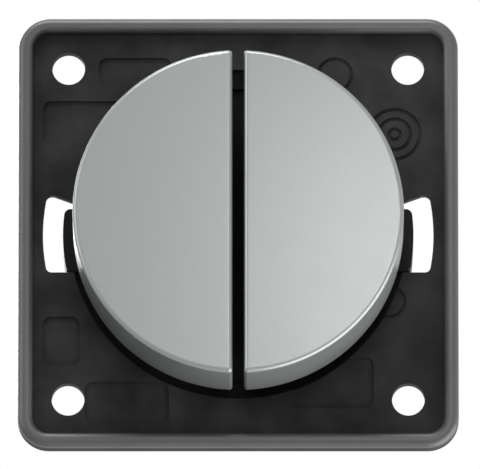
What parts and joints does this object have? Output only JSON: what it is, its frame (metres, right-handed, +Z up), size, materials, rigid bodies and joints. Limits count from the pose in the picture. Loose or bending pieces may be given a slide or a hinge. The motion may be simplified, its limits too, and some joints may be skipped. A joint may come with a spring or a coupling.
{
  "type": "push button light switch",
  "caption": "Flush light switch insert: two half-round matt metallic push buttons on a square black support plate, with contact base and screw terminals behind.",
  "frame": {"origin": "middle of the square plate and of its four screw holes, on the wall plane (the back face of the plate's rim)", "axes": "+Z up, the front of the buttons faces -Y, +X to the right as seen from the front; the base reaches into the wall towards +Y"},
  "size_m": [0.055, 0.0322, 0.055],
  "materials": {
    "black_plastic": "semi-gloss moulded, faintly worn at the rim",
    "black_base_plastic": "matt moulded",
    "black_carrier_plastic": "matt moulded",
    "matt_chrome_lacquer": "matt metallic lacquer on plastic",
    "natural_plastic": "satin",
    "brass_strip": "rolled",
    "brass_block": "machined",
    "silver_contact": "silver alloy",
    "zinc_plated_steel": "zinc plated",
    "spring_steel": "drawn wire"
  },
  "bodies": {
    "housing": {"support_plate": "black_plastic", "switch_base": "black_base_plastic", "bearing_frame": "black_base_plastic", "frame_screws": "zinc_plated_steel", "common_busbar": "brass_strip", "output_strip_left": "brass_strip", "output_strip_right": "brass_strip", "fixed_contact_tips": "silver_contact", "terminal_block_common": "brass_block", "terminal_block_left": "brass_block", "terminal_block_right": "brass_block", "terminal_screws": "zinc_plated_steel", "return_spring_left": "spring_steel", "return_spring_right": "spring_steel"},
    "button_left": {"button_cap_left": "matt_chrome_lacquer", "rocker_left": "black_carrier_plastic"},
    "plunger_left": {"plunger_left": "natural_plastic", "contact_bridge_left": "brass_strip", "moving_contact_tips_left": "silver_contact"},
    "button_right": {"button_cap_right": "matt_chrome_lacquer", "rocker_right": "black_carrier_plastic"},
    "plunger_right": {"plunger_right": "natural_plastic", "contact_bridge_right": "brass_strip", "moving_contact_tips_right": "silver_contact"}
  },
  "joints": [
    {"name": "button_left_press", "type": "hinge", "parent": "housing", "child": "button_left", "pos_m": [-0.01, -0.0052, 0], "axis": [1, 0, 0], "range_deg": [0, 5], "stiffness_Nm_per_rad": 0.06, "springref_deg": -14.32},
    {"name": "plunger_left_slide", "type": "slide", "parent": "housing", "child": "plunger_left", "axis": [0, 1, 0], "range_m": [0, 0.00095], "deforming": ["return_spring_left"]},
    {"name": "button_right_press", "type": "hinge", "parent": "housing", "child": "button_right", "pos_m": [0.01, -0.0052, 0], "axis": [1, 0, 0], "range_deg": [0, 5], "stiffness_Nm_per_rad": 0.06, "springref_deg": -14.32},
    {"name": "plunger_right_slide", "type": "slide", "parent": "housing", "child": "plunger_right", "axis": [0, 1, 0], "range_m": [0, 0.00095], "deforming": ["return_spring_right"]}
  ],
  "couplings": [
    {"joint": "plunger_left_slide", "follows": "button_left_press", "m_per_rad": 0.0105},
    {"joint": "plunger_right_slide", "follows": "button_right_press", "m_per_rad": 0.0105}
  ]
}
